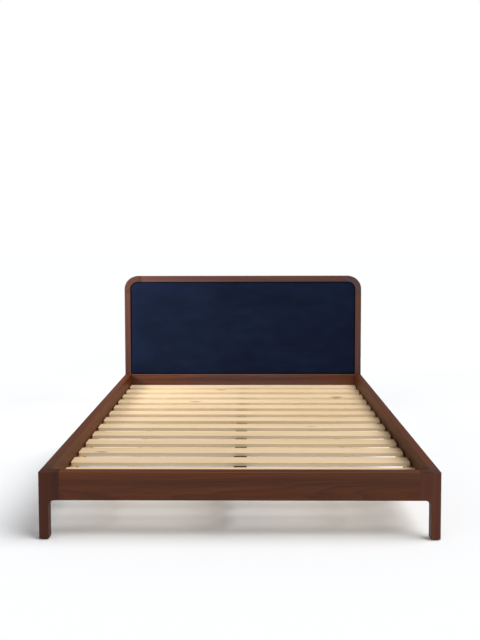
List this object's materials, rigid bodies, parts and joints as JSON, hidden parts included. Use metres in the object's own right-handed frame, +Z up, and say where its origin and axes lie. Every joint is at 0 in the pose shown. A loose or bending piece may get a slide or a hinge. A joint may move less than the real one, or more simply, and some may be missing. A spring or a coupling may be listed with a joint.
{
  "type": "bed frame",
  "caption": "Low wooden bed frame with L-shaped corner legs, a slatted deck on a steel centre beam with levelling feet, and a tall round-cornered headboard round a padded fabric panel",
  "frame": {"origin": "on the floor, at the middle of the bed's length and width", "axes": "+Z up; +Y along the bed from the foot end to the headboard; +X to the right, seen from the foot end"},
  "size_m": [1.64, 2.13, 0.968],
  "materials": {
    "walnut": "satin oiled walnut",
    "veneered_panel": "satin walnut veneer",
    "plywood": "bare plywood",
    "pine": "planed bare pine",
    "foam": "open-cell foam",
    "velvet": "short-pile navy velvet",
    "webbing": "woven polyester tape",
    "black_steel": "black powder coat",
    "zinc_steel": "zinc plated",
    "nylon": "moulded nylon"
  },
  "bodies": {
    "frame": {"foot_leg_left": "walnut", "foot_leg_right": "walnut", "foot_rail": "walnut", "side_rail_left": "walnut", "side_rail_right": "walnut", "head_stile_left": "walnut", "head_stile_right": "walnut", "head_corner_left": "walnut", "head_corner_right": "walnut", "head_top_rail": "walnut", "head_bottom_rail": "walnut", "headboard_back_panel": "veneered_panel", "headboard_board": "plywood", "headboard_foam": "foam", "headboard_cover": "velvet", "ledger_left": "pine", "ledger_right": "pine", "slat_strap_left": "webbing", "slat_strap_right": "webbing", "rail_hook_foot_left": "zinc_steel", "rail_hook_foot_right": "zinc_steel", "rail_hook_head_left": "zinc_steel", "rail_hook_head_right": "zinc_steel", "post_plate_foot_left": "zinc_steel", "post_plate_foot_right": "zinc_steel", "post_plate_head_left": "zinc_steel", "post_plate_head_right": "zinc_steel", "glide_foot_left": "nylon", "glide_foot_right": "nylon", "glide_head_left": "nylon", "glide_head_right": "nylon", "centre_beam": "black_steel", "beam_bracket_foot": "zinc_steel", "beam_bracket_head": "zinc_steel", "centre_leg_foot": "black_steel", "centre_leg_middle": "black_steel", "centre_leg_head": "black_steel", "slat_01": "pine", "slat_02": "pine", "slat_03": "pine", "slat_04": "pine", "slat_05": "pine", "slat_06": "pine", "slat_07": "pine", "slat_08": "pine", "slat_09": "pine", "slat_10": "pine", "slat_11": "pine", "slat_12": "pine", "slat_13": "pine", "slat_14": "pine"},
    "foot_pad": {"levelling_pad_foot": "nylon"},
    "foot_stem": {"levelling_stem_foot": "zinc_steel"},
    "middle_pad": {"levelling_pad_middle": "nylon"},
    "middle_stem": {"levelling_stem_middle": "zinc_steel"},
    "head_pad": {"levelling_pad_head": "nylon"},
    "head_stem": {"levelling_stem_head": "zinc_steel"}
  },
  "joints": [
    {"name": "foot_pad_drop", "type": "slide", "parent": "frame", "child": "foot_pad", "axis": [0, 0, -1], "range_m": [-0.006, 0.012]},
    {"name": "foot_stem_turn", "type": "hinge", "parent": "foot_pad", "child": "foot_stem", "pos_m": [0, -0.512, 0.03], "axis": [0, 0, -1], "range_deg": [-1725, 3450]},
    {"name": "middle_pad_drop", "type": "slide", "parent": "frame", "child": "middle_pad", "axis": [0, 0, -1], "range_m": [-0.006, 0.012]},
    {"name": "middle_stem_turn", "type": "hinge", "parent": "middle_pad", "child": "middle_stem", "pos_m": [0, 0, 0.03], "axis": [0, 0, -1], "range_deg": [-1725, 3450]},
    {"name": "head_pad_drop", "type": "slide", "parent": "frame", "child": "head_pad", "axis": [0, 0, -1], "range_m": [-0.006, 0.012]},
    {"name": "head_stem_turn", "type": "hinge", "parent": "head_pad", "child": "head_stem", "pos_m": [0, 0.512, 0.03], "axis": [0, 0, -1], "range_deg": [-1725, 3450]}
  ],
  "couplings": [
    {"joint": "foot_pad_drop", "follows": "foot_stem_turn", "m_per_rad": 0.00019894},
    {"joint": "middle_pad_drop", "follows": "middle_stem_turn", "m_per_rad": 0.00019894},
    {"joint": "head_pad_drop", "follows": "head_stem_turn", "m_per_rad": 0.00019894}
  ]
}
